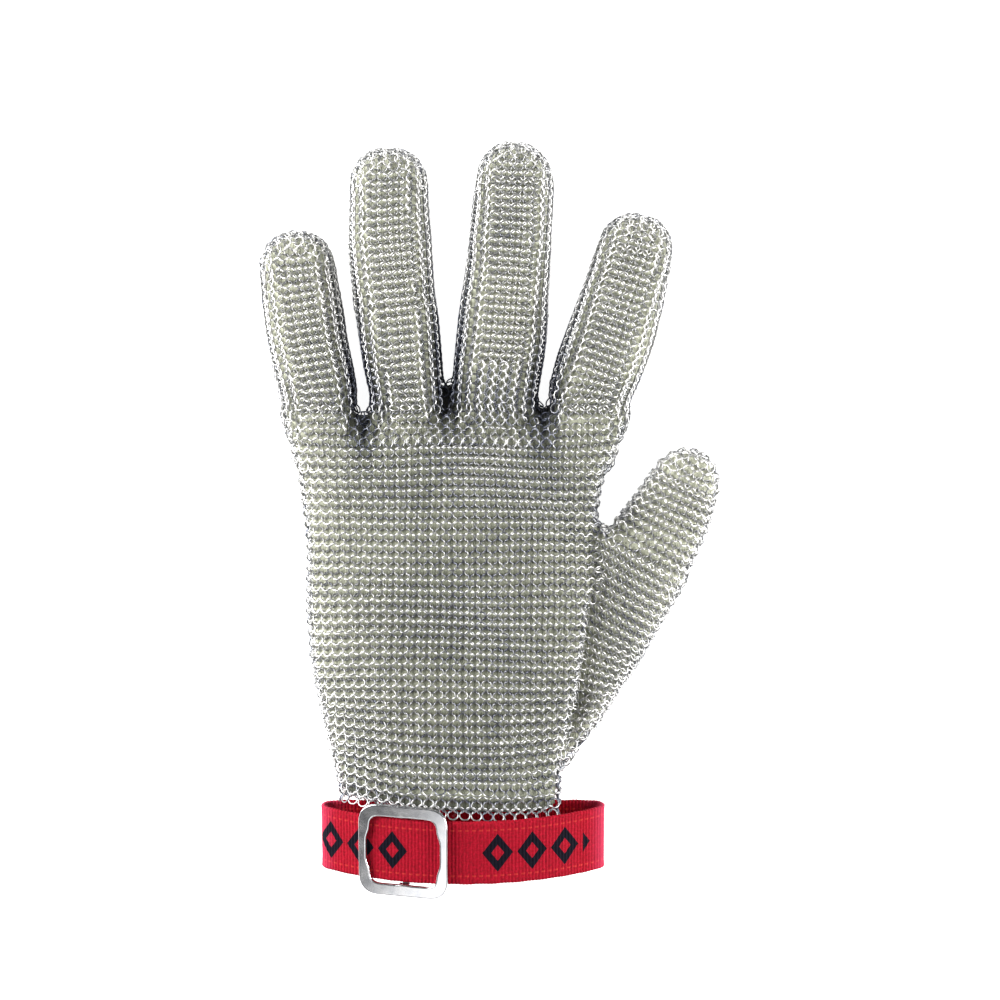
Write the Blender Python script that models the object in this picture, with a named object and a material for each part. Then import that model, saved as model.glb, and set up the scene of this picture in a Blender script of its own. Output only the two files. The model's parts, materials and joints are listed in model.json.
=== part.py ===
"""Ring-mesh glove with an inner liner, a webbing wrist strap and a slide buckle.

The glove lies on its back on the plane z = 0: fingers along +Y, thumb towards +X, the buckle side up.
Every fold is a hinge near the upper surface, so a finger curls up and over the hand. Sizes here are in
millimetres and MM turns them into metres when a mesh is made.
"""

import math

import bmesh
import bpy
from mathutils import Matrix, Vector

MM = 0.001

# Where the middle of the footprint falls in the layout below. The part's origin is there, on the table.
FOOTPRINT_MIDDLE = Vector((0.473, 0.80, 0.0))

# Walls and clearances
MESH_WALL = 1.6
LINER_INSET = 1.9
LINER_WALL = 0.9
END_GAP = 0.5
SEAM_GAP = 0.2
FOLD_SLOPE = 1.0

# Cross-sections
ROUNDNESS = 2.4
TIP_ROUNDNESS = 2.15
RESTING_SINE = 0.9
MESH_SIDES = 16
LINER_SIDES = 12
TIP_RINGS = 3

# Fingers: where the folds cross the middle of the finger, then the half width at each place.
# The last place is the shoulder, where the rounded tip begins.
FINGER_BASE_Y = 35.0
FINGERS = {
    "little": {
        "places": [(-52.2, 35.0), (-57.3, 56.5), (-60.2, 74.0), (-60.8, 80.0)],
        "half_widths": [12.7, 12.3, 11.7, 11.3],
        "tip": 10.8,
    },
    "ring": {
        "places": [(-26.2, 35.0), (-29.6, 65.0), (-31.9, 92.5), (-32.4, 105.5)],
        "half_widths": [12.1, 12.4, 12.7, 12.0],
        "tip": 12.0,
    },
    "middle": {
        "places": [(1.1, 35.0), (4.4, 67.5), (7.0, 94.0), (7.7, 106.5)],
        "half_widths": [14.0, 13.2, 12.4, 11.8],
        "tip": 12.9,
    },
    "index": {
        "places": [(29.9, 35.0), (38.0, 57.0), (43.6, 76.0), (45.9, 84.6)],
        "half_widths": [13.7, 13.2, 12.3, 11.5],
        "tip": 12.3,
    },
}
FINGER_HEIGHTS = [18.5, 17.5, 16.6, 15.8]
FINGER_AXIS_HEIGHTS = [14.5, 13.6, 12.8]

# Hand tube: station y, left edge x, right edge x, height
HAND_STATIONS = [
    (-92.0, -47.5, 21.8, 22.0),
    (-82.0, -48.6, 23.6, 23.2),
    (-70.0, -51.2, 26.2, 25.0),
    (-56.0, -53.8, 29.6, 26.0),
    (-42.0, -56.6, 32.4, 26.5),
    (-28.0, -57.8, 34.8, 26.5),
    (-15.0, -58.1, 35.2, 26.0),
    (-4.0, -58.6, 34.2, 25.0),
    (6.0, -59.8, 34.2, 23.8),
    (16.0, -60.8, 36.4, 22.2),
    (26.0, -62.3, 40.0, 20.4),
    (FINGER_BASE_Y, -64.9, 43.7, 18.5),
]
HAND_COLUMNS = 9
THUMB_SLOT_Y = (-83.0, -14.0)
SLOT_UPPER_ANGLE = 15.0
SLOT_LOWER_ANGLE = 30.0
HEM_MIDDLE_Y = -91.8
HEM_RISE = 4.0
HEM_LEAN = 2.5
BACK_HEM_Y = -86.4
LINER_HEM_LIFT = 3.0

# Thumb wing: where it meets the hand, then its outer edge, from the thumb root down to the wrist
WING_SECTIONS = [
    ((35.2, -4.6), (61.9, -20.2)),
    ((36.1, -14.0), (57.7, -27.2)),
    ((35.7, -27.0), (52.3, -36.2)),
    ((33.3, -42.0), (46.0, -46.4)),
    ((30.6, -55.5), (38.8, -56.8)),
    ((28.0, -67.0), (33.4, -64.8)),
]
WING_HEIGHT = 17.0
WING_COLUMNS = 8
THUMB = {
    "places": [(48.55, -12.4), (55.8, -1.2), (61.4, 10.9)],
    "half_widths": [15.5, 13.5, 11.3],
    "tip": 12.0,
}
THUMB_HEIGHTS = [17.0, 16.5, 15.6]
THUMB_AXIS_HEIGHTS = [13.4, 12.8]
CREASE_TOP = (35.4, -4.0, 17.8)

# Strap: a flat band whose loop lies in a plane tilted back from upright
STRAP_WIDTH = 20.8
STRAP_THICKNESS = 1.4
STRAP_TILT = math.radians(12.0)
STRAP_EDGE_Y = -88.3
STRAP_LIFT = 4.5
STRAP_MIDDLE_X = -8.5
STRAP_HALF_CHORD = 42.5
STRAP_ARC_PEAK = 22.5
STRAP_ARC_ENDS = 8.0
STRAP_FLOOR = STRAP_THICKNESS / 2
ARC_STEPS = 30
FOLD_STEPS = 8
LAP_X = (-14.0, 16.0)
LAP_GAP = 0.3
TACK_LENGTH = 17.0
TACK_SECTION = 1.2

# Slide buckle
BUCKLE_X = -26.7
BUCKLE_OUTER = (28.8, 29.3)
BUCKLE_INNER = (21.7, 21.9)
BUCKLE_OUTER_RADIUS = 5.2
BUCKLE_INNER_RADIUS = 2.6
BUCKLE_BOW = 1.1
BUCKLE_THICKNESS = 1.3
BUCKLE_CLEARANCE = 0.35
BAR_WIDTH = 3.2
BAR_THICKNESS = 1.2
STUB_LENGTH = 1.9
CORNER_STEPS = 5

MATERIALS = {
    "ring_mesh": ((0.60, 0.60, 0.58), 0.30, 1.0),
    "liner": ((0.60, 0.61, 0.48), 0.85, 0.0),
    "webbing": ((0.62, 0.02, 0.03), 0.75, 0.0),
    "thread": ((0.35, 0.01, 0.02), 0.80, 0.0),
    "polished_steel": ((0.75, 0.76, 0.78), 0.12, 1.0),
}


def clear_scene():
    for obj in list(bpy.data.objects):
        bpy.data.objects.remove(obj, do_unlink=True)


def make_material(name):
    colour, roughness, metallic = MATERIALS[name]
    material = bpy.data.materials.new(name)
    material.use_nodes = True
    shader = material.node_tree.nodes["Principled BSDF"]
    shader.inputs["Base Color"].default_value = (*colour, 1.0)
    shader.inputs["Roughness"].default_value = roughness
    shader.inputs["Metallic"].default_value = metallic
    return material


def add_axis(name, place, parent=None):
    """An empty on a joint's axis. Empties are only moved, never turned."""
    empty = bpy.data.objects.new(name, None)
    empty.empty_display_size = 5 * MM
    empty["place"] = list(place)
    empty.parent = parent
    start = Vector(parent["place"]) if parent else FOOTPRINT_MIDDLE
    empty.location = (Vector(place) - start) * MM
    bpy.context.scene.collection.objects.link(empty)
    return empty


def add_object(name, bm, material, axis=None, smooth=True):
    """Makes an object from a mesh in millimetres. On a moving piece, its parent is the empty on its axis."""
    bmesh.ops.recalc_face_normals(bm, faces=bm.faces)
    mesh = bpy.data.meshes.new(name)
    bm.to_mesh(mesh)
    bm.free()
    origin = Vector(axis["place"]) if axis else FOOTPRINT_MIDDLE
    mesh.transform(Matrix.Scale(MM, 4) @ Matrix.Translation(-origin))
    if smooth:
        mesh.shade_smooth()
        mesh.set_sharp_from_angle(angle=math.radians(50))
    mesh.materials.append(material)
    obj = bpy.data.objects.new(name, mesh)
    obj.parent = axis
    bpy.context.scene.collection.objects.link(obj)
    return obj


def rounded(angle, half_width, half_height, power=ROUNDNESS, resting=False):
    """A point of a superellipse, flattened underneath where it rests on the table."""
    c, s = math.cos(angle), math.sin(angle)
    across = math.copysign(abs(c) ** (2 / power), c) * half_width
    up = math.copysign(abs(s) ** (2 / power), s) * half_height
    if resting and s < -RESTING_SINE:
        up = -half_height
    return across, up


def setback(z, axis_height):
    """How far a wall's end stands back from a fold: a plain gap below the axis, a 45 degree notch above."""
    return END_GAP + max(0.0, z - axis_height) * FOLD_SLOPE


def heading_between(a, b):
    return (Vector((*b, 0)) - Vector((*a, 0))).normalized()


def ring(place, heading, half_width, height, inset, sides, shrink=1.0, fold=None):
    """One closed ring of a tube. fold is (axis height, -1 or +1 along the heading) on a ring at a fold."""
    side = Vector((heading.y, -heading.x, 0))
    points = []
    for i in range(sides):
        angle = 2 * math.pi * i / sides
        across, up = rounded(angle, half_width - inset, height / 2 - inset, resting=True)
        point = Vector((place[0], place[1], height / 2)) + side * across * shrink
        point.z += up * shrink
        if fold:
            point += heading * setback(point.z, fold[0]) * fold[1]
        points.append(point)
    return points


def tip_rings(place, heading, half_width, height, length, inset, sides):
    """The rings of a rounded tip beyond its shoulder, then its last point."""
    rings = []
    for k in range(1, TIP_RINGS + 1):
        angle = math.pi / 2 * k / (TIP_RINGS + 1)
        shrink, along = rounded(angle, 1.0, length - inset, TIP_ROUNDNESS)
        centre = Vector((*place, 0)) + heading * along
        rings.append(ring(centre, heading, half_width, height, inset, sides, shrink))
    pole = Vector((*place, height / 2)) + heading * (length - inset)
    return rings, pole


def add_strip(bm, first, second, closed=True):
    count = len(first)
    for i in range(count if closed else count - 1):
        j = (i + 1) % count
        bm.faces.new((first[i], first[j], second[j], second[i]))


def tube(name, surfaces, poles, material, axis):
    """A hollow tube from its outer and inner rings, open at the start, open or tipped at the end."""
    bm = bmesh.new()
    made = []
    for rings in surfaces:
        made.append([[bm.verts.new(p) for p in points] for points in rings])
        for first, second in zip(made[-1], made[-1][1:]):
            add_strip(bm, first, second)
    add_strip(bm, made[0][0], made[1][0])
    if poles:
        for rings, pole in zip(made, poles):
            top = bm.verts.new(pole)
            last = rings[-1]
            for i in range(len(last)):
                bm.faces.new((last[i], last[(i + 1) % len(last)], top))
    else:
        add_strip(bm, made[0][-1], made[1][-1])
    return add_object(name, bm, material, axis)


def panel(name, outer, inner, material, axis=None):
    """An open sheet with a wall, from two grids of points of the same shape."""
    bm = bmesh.new()
    grids = [[[bm.verts.new(p) for p in row] for row in grid] for grid in (outer, inner)]
    for grid in grids:
        for first, second in zip(grid, grid[1:]):
            add_strip(bm, first, second, closed=False)
    for row in (0, -1):
        add_strip(bm, grids[0][row], grids[1][row], closed=False)
    for column in (0, -1):
        edges = [[row[column] for row in grid] for grid in grids]
        add_strip(bm, edges[0], edges[1], closed=False)
    return add_object(name, bm, material, axis)


LAYERS = {
    "mesh": {"insets": (0.0, MESH_WALL), "sides": MESH_SIDES, "material": "ring_mesh"},
    "liner": {
        "insets": (LINER_INSET, LINER_INSET + LINER_WALL),
        "sides": LINER_SIDES,
        "material": "liner",
    },
}


def make_digit(name, parts, digit, heights, axis_heights, first_heading, root, materials):
    """The segments of a finger or of the thumb's tube: mesh and liner, on a chain of axes."""
    places, widths = digit["places"], digit["half_widths"]
    last = len(places) - 1
    headings = [first_heading]
    for i in range(1, last):
        headings.append(heading_between(places[i - 1], places[i + 1]))
    headings.append(heading_between(places[-2], places[-1]))
    axis = root
    for i, part in enumerate(parts):
        axis = add_axis(f"{name}_{part}_axis", (*places[i], axis_heights[i]), axis)
        middle = tuple((a + b) / 2 for a, b in zip(places[i], places[i + 1]))
        middle_heading = heading_between(places[i], places[i + 1])
        middle_width = (widths[i] + widths[i + 1]) / 2
        middle_height = (heights[i] + heights[i + 1]) / 2
        for layer, build in LAYERS.items():
            surfaces, poles = [], []
            for inset in build["insets"]:
                sides = build["sides"]
                start = ring(
                    places[i], headings[i], widths[i], heights[i], inset, sides,
                    fold=(axis_heights[i], 1),
                )
                rings = [start, ring(middle, middle_heading, middle_width, middle_height, inset, sides)]
                if i + 1 == last:
                    shoulder = (places[-1], headings[-1], widths[-1], heights[-1])
                    rings.append(ring(*shoulder, inset, sides))
                    more, pole = tip_rings(*shoulder, digit["tip"], inset, sides)
                    rings += more
                    poles.append(pole)
                else:
                    rings.append(
                        ring(
                            places[i + 1], headings[i + 1], widths[i + 1], heights[i + 1], inset, sides,
                            fold=(axis_heights[i + 1], -1),
                        )
                    )
                surfaces.append(rings)
            tube(f"{name}_{part}_{layer}", surfaces, poles, materials[build["material"]], axis)


def hand_grid(front, inset, hem_lift):
    """One surface of the hand's upper or lower half, row by row from the hem to the finger bases."""
    up_or_down = 1 if front else -1
    turn = math.pi * up_or_down
    slot_angle = SLOT_UPPER_ANGLE if front else SLOT_LOWER_ANGLE
    grid = []
    for index, (y, left, right, height) in enumerate(HAND_STATIONS):
        middle, half_width = (left + right) / 2, (right - left) / 2
        in_slot = THUMB_SLOT_Y[0] < y < THUMB_SLOT_Y[1]
        end = math.radians(slot_angle if in_slot else 0.0) * up_or_down
        row = []
        for column in range(HAND_COLUMNS):
            angle = turn + (end - turn) * column / (HAND_COLUMNS - 1)
            across, up = rounded(angle, half_width - inset, height / 2 - SEAM_GAP - inset, resting=True)
            z = height / 2 + up_or_down * SEAM_GAP + up
            place_y = y
            if index == 0:
                u = across / half_width
                hem = HEM_MIDDLE_Y + HEM_RISE * u * u - HEM_LEAN * u
                place_y = (hem if front else BACK_HEM_Y) + hem_lift
            elif index == len(HAND_STATIONS) - 1:
                place_y = y - setback(z, FINGER_AXIS_HEIGHTS[0])
            row.append(Vector((middle + across, place_y, z)))
        grid.append(row)
    return grid


def make_hand(materials):
    for layer, build in LAYERS.items():
        lift = LINER_HEM_LIFT if layer == "liner" else 0.0
        for front, side in ((True, "front"), (False, "back")):
            grids = [hand_grid(front, inset, lift) for inset in build["insets"]]
            panel(f"hand_{side}_{layer}", *grids, materials[build["material"]])


def wing_root_heading():
    """Square to the wing's first section, towards the thumb's tip."""
    side = heading_between(*WING_SECTIONS[0])
    return Vector((-side.y, side.x, 0))


def wing_grid(inset):
    """One surface of the thumb wing: a C-shaped wall, open towards the hand."""
    root_heading = wing_root_heading()
    grid = []
    for index, (near, far) in enumerate(WING_SECTIONS):
        out = heading_between(near, far)
        reach = (Vector(far) - Vector(near)).length
        row = []
        for column in range(WING_COLUMNS + 1):
            angle = math.pi / 2 - math.pi * column / WING_COLUMNS
            across, up = rounded(angle, reach - inset, WING_HEIGHT / 2 - inset, resting=True)
            point = Vector((*near, WING_HEIGHT / 2 + up)) + out * across
            if index == 0:
                point -= root_heading * setback(point.z, THUMB_AXIS_HEIGHTS[0])
            row.append(point)
        grid.append(row)
    return grid


def make_thumb(materials):
    axis = add_axis("thumb_wing_axis", CREASE_TOP)
    for layer, build in LAYERS.items():
        grids = [wing_grid(inset) for inset in build["insets"]]
        panel(f"thumb_wing_{layer}", *grids, materials[build["material"]], axis)
    make_digit(
        "thumb", ("proximal", "distal"), THUMB, THUMB_HEIGHTS, THUMB_AXIS_HEIGHTS,
        wing_root_heading(), axis, materials,
    )


def make_fingers(materials):
    for name, digit in FINGERS.items():
        make_digit(
            name, ("proximal", "middle", "distal"), digit, FINGER_HEIGHTS, FINGER_AXIS_HEIGHTS,
            Vector((0, 1, 0)), None, materials,
        )


# The strap's own directions: across the glove, up its tilted plane, and along its width towards the hand
STRAP_UP = Vector((0, -math.sin(STRAP_TILT), math.cos(STRAP_TILT)))
STRAP_ALONG = Vector((0, math.cos(STRAP_TILT), math.sin(STRAP_TILT)))
STRAP_ARC_SAG = STRAP_ARC_PEAK - STRAP_ARC_ENDS
STRAP_RADIUS = (STRAP_HALF_CHORD**2 + STRAP_ARC_SAG**2) / (2 * STRAP_ARC_SAG)
STRAP_ARC_W = STRAP_ARC_PEAK - STRAP_RADIUS


def strap_point(x, w, v):
    """x across the glove, w up the tilted plane, v along the width from the strap's middle line."""
    start = Vector((x, STRAP_EDGE_Y, STRAP_LIFT))
    return start + STRAP_UP * w + STRAP_ALONG * (v - STRAP_WIDTH / 2)


def strap_path():
    """The loop's middle line as (x, w, outward x, outward w), anticlockwise from the right end of the arc."""
    slope = math.asin(STRAP_HALF_CHORD / STRAP_RADIUS)
    fold = (STRAP_ARC_ENDS - STRAP_FLOOR) / (1 + math.cos(slope))
    fold_x = STRAP_HALF_CHORD - fold * math.sin(slope)
    turns = []
    for i in range(ARC_STEPS + 1):
        angle = math.pi / 2 - slope + 2 * slope * i / ARC_STEPS
        turns.append((0.0, STRAP_ARC_W, STRAP_RADIUS, angle))
    for side, start in ((-1, math.pi / 2 + slope), (1, 3 * math.pi / 2)):
        span = math.pi - slope
        for i in range(FOLD_STEPS + 1):
            angle = start + span * i / FOLD_STEPS
            turns.append((side * fold_x, STRAP_FLOOR + fold, fold, angle))
    path = []
    for centre_x, centre_w, radius, angle in turns:
        out = (math.cos(angle), math.sin(angle))
        point = (STRAP_MIDDLE_X + centre_x + radius * out[0], centre_w + radius * out[1], *out)
        if not path or math.dist(path[-1][:2], point[:2]) > 0.01:
            path.append(point)
    if math.dist(path[0][:2], path[-1][:2]) < 0.01:
        path.pop()
    return path


def make_strap(materials):
    bm = bmesh.new()
    loops = []
    for x, w, out_x, out_w in strap_path():
        loop = []
        for out, v in ((1, -1), (1, 1), (-1, 1), (-1, -1)):
            reach = out * STRAP_THICKNESS / 2
            corner = strap_point(x + out_x * reach, w + out_w * reach, v * STRAP_WIDTH / 2)
            loop.append(bm.verts.new(corner))
        loops.append(loop)
    for first, second in zip(loops, loops[1:] + loops[:1]):
        add_strip(bm, first, second)
    add_object("wrist_strap", bm, materials["webbing"], smooth=False)


def slab(name, x_range, w_range, v_range, material):
    """A flat block in the strap's own directions."""
    bm = bmesh.new()
    corners = {}
    for i, x in enumerate(x_range):
        for j, w in enumerate(w_range):
            for k, v in enumerate(v_range):
                corners[i, j, k] = bm.verts.new(strap_point(x, w, v))
    for axis in range(3):
        for end in (0, 1):
            loop = []
            for a, b in ((0, 0), (0, 1), (1, 1), (1, 0)):
                key = [a, b]
                key.insert(axis, end)
                loop.append(corners[tuple(key)])
            bm.faces.new(loop)
    add_object(name, bm, material, smooth=False)


def make_lap(materials):
    """The webbing's end, doubled over inside the back run, and the two bar tacks that hold it."""
    low = STRAP_THICKNESS + LAP_GAP
    high = low + STRAP_THICKNESS
    half = STRAP_WIDTH / 2
    slab("strap_lap", LAP_X, (low, high), (-half, half), materials["webbing"])
    for name, x in (("lap_tack_left", LAP_X[0] + 3), ("lap_tack_right", LAP_X[1] - 3)):
        across = (x - TACK_SECTION / 2, x + TACK_SECTION / 2)
        up = (high + LAP_GAP, high + LAP_GAP + TACK_SECTION / 2)
        slab(name, across, up, (-TACK_LENGTH / 2, TACK_LENGTH / 2), materials["thread"])


def frame_outline(size, radius, bow):
    """A rounded rectangle, anticlockwise from the right side, with its left and right sides bowed outwards."""
    half_x, half_y = size[0] / 2, size[1] / 2
    flat = half_y - radius
    points = []
    for turn in range(4):
        angle = math.pi / 2 * turn
        sign_x = 1 if turn in (0, 3) else -1
        sign_y = 1 if turn in (0, 1) else -1
        if turn in (0, 2):
            points.append((sign_x * (half_x + bow), -sign_y * flat * 0.45))
            points.append((sign_x * (half_x + bow), sign_y * flat * 0.45))
            points.append((sign_x * half_x, sign_y * flat * 0.8))
        centre = (sign_x * (half_x - radius), sign_y * flat)
        for i in range(CORNER_STEPS + 1):
            a = angle + math.pi / 2 * i / CORNER_STEPS
            points.append((centre[0] + radius * math.cos(a), centre[1] + radius * math.sin(a)))
        if turn in (1, 3):
            points.append((sign_x * half_x, sign_y * flat * 0.8))
    return points


def buckle_axis():
    """The buckle rides round the strap's arc, so its axis is the arc's own centre line."""
    return strap_point(STRAP_MIDDLE_X, STRAP_ARC_W, 0.0)


def buckle_frame():
    """Matrix from the buckle's own directions (along the strap, across it, outwards) to the glove's."""
    turn = math.asin((BUCKLE_X - STRAP_MIDDLE_X) / STRAP_RADIUS)
    out = Vector((1, 0, 0)) * math.sin(turn) + STRAP_UP * math.cos(turn)
    along = STRAP_ALONG.cross(out)
    columns = Matrix((along, STRAP_ALONG, out)).transposed().to_4x4()
    return Matrix.Translation(buckle_axis()) @ columns


def make_buckle(materials):
    axis = add_axis("buckle_axis", buckle_axis())
    place = buckle_frame()
    outer_radius = STRAP_RADIUS + STRAP_THICKNESS / 2
    low = math.sqrt(outer_radius**2 - (BUCKLE_INNER[0] / 2) ** 2) + BUCKLE_CLEARANCE
    high = low + BUCKLE_THICKNESS
    bm = bmesh.new()
    outlines = [
        frame_outline(BUCKLE_OUTER, BUCKLE_OUTER_RADIUS, 0.0),
        frame_outline(BUCKLE_INNER, BUCKLE_INNER_RADIUS, BUCKLE_BOW),
    ]
    loops = []
    for outline in outlines:
        for level in (low, high):
            loops.append([bm.verts.new(place @ Vector((u, v, level))) for u, v in outline])
    for first, second in ((0, 1), (1, 3), (3, 2), (2, 0)):
        add_strip(bm, loops[first], loops[second])
    buckle = add_object("slide_buckle", bm, materials["polished_steel"], axis, smooth=False)
    bar = bmesh.new()
    bar_high = STRAP_RADIUS - STRAP_THICKNESS / 2 - BUCKLE_CLEARANCE
    bar_low = bar_high - BAR_THICKNESS
    stub_start = STRAP_WIDTH / 2 + BUCKLE_CLEARANCE
    stub_end = stub_start + STUB_LENGTH
    profile = [
        (-stub_end, (low + high) / 2), (-stub_end, bar_low), (stub_end, bar_low),
        (stub_end, (low + high) / 2), (stub_start, (low + high) / 2), (stub_start, bar_high),
        (-stub_start, bar_high), (-stub_start, (low + high) / 2),
    ]
    ends = []
    for u in (-BAR_WIDTH / 2, BAR_WIDTH / 2):
        ends.append([bar.verts.new(place @ Vector((u, v, level))) for v, level in profile])
    add_strip(bar, ends[0], ends[1])
    for end in ends:
        for quad in ((0, 1, 6, 7), (1, 2, 5, 6), (2, 3, 4, 5)):
            bar.faces.new([end[i] for i in quad])
    bar_object = add_object("buckle_bar", bar, materials["polished_steel"], axis, smooth=False)
    bar_object.hide_render = True
    bar_object.display_type = "WIRE"
    union = buckle.modifiers.new("bar", "BOOLEAN")
    union.operation = "UNION"
    union.solver = "EXACT"
    union.object = bar_object


def main():
    clear_scene()
    materials = {name: make_material(name) for name in MATERIALS}
    make_hand(materials)
    make_fingers(materials)
    make_thumb(materials)
    make_strap(materials)
    make_lap(materials)
    make_buckle(materials)


main()
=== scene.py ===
"""The looks of the ring-mesh glove: thousands of linked steel rings over a knitted liner, a woven wrist
strap with a slide buckle, on a pale floor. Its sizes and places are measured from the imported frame."""

import json
import math

import bmesh
import bpy
import numpy as np
from mathutils import Matrix, Vector, noise
from mathutils.bvhtree import BVHTree
from mathutils.kdtree import KDTree


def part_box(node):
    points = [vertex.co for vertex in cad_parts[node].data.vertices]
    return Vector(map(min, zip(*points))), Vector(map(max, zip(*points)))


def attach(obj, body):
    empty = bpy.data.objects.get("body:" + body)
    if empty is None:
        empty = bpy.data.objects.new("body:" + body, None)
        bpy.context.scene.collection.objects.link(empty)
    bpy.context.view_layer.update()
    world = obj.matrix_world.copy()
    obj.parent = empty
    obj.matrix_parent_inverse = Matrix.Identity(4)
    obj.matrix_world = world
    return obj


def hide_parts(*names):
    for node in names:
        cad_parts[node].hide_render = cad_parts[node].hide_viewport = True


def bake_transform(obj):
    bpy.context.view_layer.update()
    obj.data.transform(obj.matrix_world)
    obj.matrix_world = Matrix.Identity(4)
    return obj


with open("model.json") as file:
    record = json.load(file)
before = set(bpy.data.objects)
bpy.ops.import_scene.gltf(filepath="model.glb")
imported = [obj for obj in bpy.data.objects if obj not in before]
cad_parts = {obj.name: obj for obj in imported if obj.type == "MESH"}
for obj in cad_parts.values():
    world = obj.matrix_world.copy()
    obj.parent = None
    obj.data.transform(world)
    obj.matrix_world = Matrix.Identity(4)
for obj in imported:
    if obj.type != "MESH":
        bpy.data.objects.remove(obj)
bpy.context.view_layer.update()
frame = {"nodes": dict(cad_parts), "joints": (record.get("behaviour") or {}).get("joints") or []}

MM = 0.001
UP = Vector((0, 0, 1))
ACROSS = Vector((1, 0, 0))
NODES = frame["nodes"]
JOINTS = {joint["name"]: joint for joint in frame["joints"]}
PARTS = {
    "little": ("proximal", "middle", "distal"),
    "ring": ("proximal", "middle", "distal"),
    "middle": ("proximal", "middle", "distal"),
    "index": ("proximal", "middle", "distal"),
    "thumb": ("proximal", "distal"),
}

# Ring mesh: pitch along a row, step from row to row, ring and wire radius, lean of a row's rings
RING_PITCH = 3.6 * MM
ROW_STEP = 1.68 * MM
FINGER_STEP = 1.45 * MM
SIDE_STRIP = 0.93
STRIP_END = 10 * MM
PATCH_HALF = 9.5 * MM
PATCH_UP = 5 * MM
PATCH_DARK = 0.8
RING_RADIUS = 1.62 * MM
WIRE_RADIUS = 0.235 * MM
RING_LEAN = math.radians(22)
FLAT_LEAN = math.radians(37)
RING_DEPTH = 0.85 * MM
RING_SEGMENTS = 12
WIRE_SIDES = 5

# The smooth body that the rings lie on
SIDES = 72
GROW = 0.9 * MM
GROW_FROM = 26 * MM
SPREAD = {"little": -1.0 * MM, "ring": 0.6 * MM}
UNDERSIDE = 0.2 * MM
FOLD_CLEAR = 5.4 * MM
ROOT_OVERLAP = 18 * MM
AIM_PAST_HEM = 12 * MM
VALLEY = 11 * MM
VALLEY_HEIGHT = 0.5
WEB_REACH = {("little", "ring"): 1.0 * MM, ("ring", "middle"): 9.5 * MM, ("middle", "index"): 3.0 * MM}
SAME_LIMB = 9 * MM
BARE = 2.7 * MM
FILL_ABOVE = 9 * MM
VOXEL = 0.7 * MM
SMOOTH_PASSES = 22
DRAPE = 1.3 * MM
DRAPE_SIZE = 30 * MM
LUMP_HEIGHT = 0.9 * MM
LUMP_SIZE = 18 * MM
LINER_DEPTH = 2.1 * MM
LINER_WALL = 0.7 * MM
BEND = 8 * MM
ROOT_BEND = 14 * MM

# Cuff: how far the front's lowest rings hang past the hem, over the strap
HEM_HANG = 0.3 * MM
HEM_CURVE = (4.0 * MM, -2.5 * MM)
HEM_FADE = 45 * MM
PRESS_FROM = 16 * MM
PRESS_TO = 5 * MM
PRESS_UNDER = 1.5 * MM
LINER_HEM = 1.5 * MM
THUMB_HEM = 5 * MM
# HEM_SHADE is how far above the hem the liner's painted shade reaches. PALE_RIGHT and PALE_FINGERS set the painted
# light on the right of the palm and on the fingers, EDGE_DARK the painted shade on the rings of the steep sides.
HEM_SHADE = 5.0 * MM
PALE_RIGHT = 0.7
EDGE_DARK = 0.4
PALE_FINGERS = 1.0

# Strap: its width and thickness, its cross ribs, and the woven motif (in millimetres along it)
WEB_WIDTH = 20.4 * MM
WEB_THICK = 1.3 * MM
RIB_PITCH = 1.1 * MM
RIB_HEIGHT = 0.16 * MM
THREAD = 0.28 * MM
BUCKLE_THICK = 1.3 * MM
STUB = 1.9 * MM
FLAT_MARGIN = 0.2 * MM
MOTIF_STEP = 11.0
MOTIF_COUNT = 4
MOTIF_PERIOD = 66.0
MOTIF_SHIFT = 10.0
MOTIF_HALF = 6.2

CAMERA_PLACE = (2.7 * MM, 5.7 * MM, 912 * MM)

rng = np.random.default_rng(7)
noise.seed_set(7)  # noise_vector takes its offsets from this seed


# ------------------------------------------------------------------ measuring the frame


def tree_of(names):
    """One search tree of several CAD nodes."""
    points, faces = [], []
    for name in names:
        mesh = NODES[name].data
        start = len(points)
        points += [v.co.copy() for v in mesh.vertices]
        faces += [[start + i for i in p.vertices] for p in mesh.polygons]
    return BVHTree.FromPolygons(points, faces)


def outline(tree, centre, side, ahead=UP, lean=0.0, grow=0.0):
    """A closed outline of what the tree holds round centre: it starts at the top and goes towards side."""
    reach = 0.15
    radii = np.full(SIDES, np.nan)
    directions = []
    for k in range(SIDES):
        angle = math.pi / 2 - 2 * math.pi * k / SIDES
        direction = side * math.cos(angle) + UP * math.sin(angle)
        direction = direction * math.cos(lean) + ahead * math.sin(lean)
        directions.append(direction)
        hit = tree.ray_cast(centre + direction * reach, -direction, reach)[0]
        if hit is not None:
            radii[k] = (hit - centre).length
    known = np.flatnonzero(~np.isnan(radii))
    radii = np.interp(np.arange(SIDES), known, radii[known], period=SIDES)
    points = np.array([centre + d * (r + grow) for d, r in zip(directions, radii)])
    points[:, 2] = np.maximum(points[:, 2], UNDERSIDE)
    return points


def lofted(rings):
    """A closed mesh through outlines, as (points, faces), with a cap at each end and its faces outwards."""
    points = [tuple(p) for ring in rings for p in ring]
    faces = []
    for row in range(len(rings) - 1):
        for k in range(SIDES):
            a, b = row * SIDES + k, row * SIDES + (k + 1) % SIDES
            faces.append((a, b, b + SIDES, a + SIDES))
    faces.append(tuple(range(SIDES))[::-1])
    faces.append(tuple(range(len(points) - SIDES, len(points))))
    return points, faces


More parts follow.
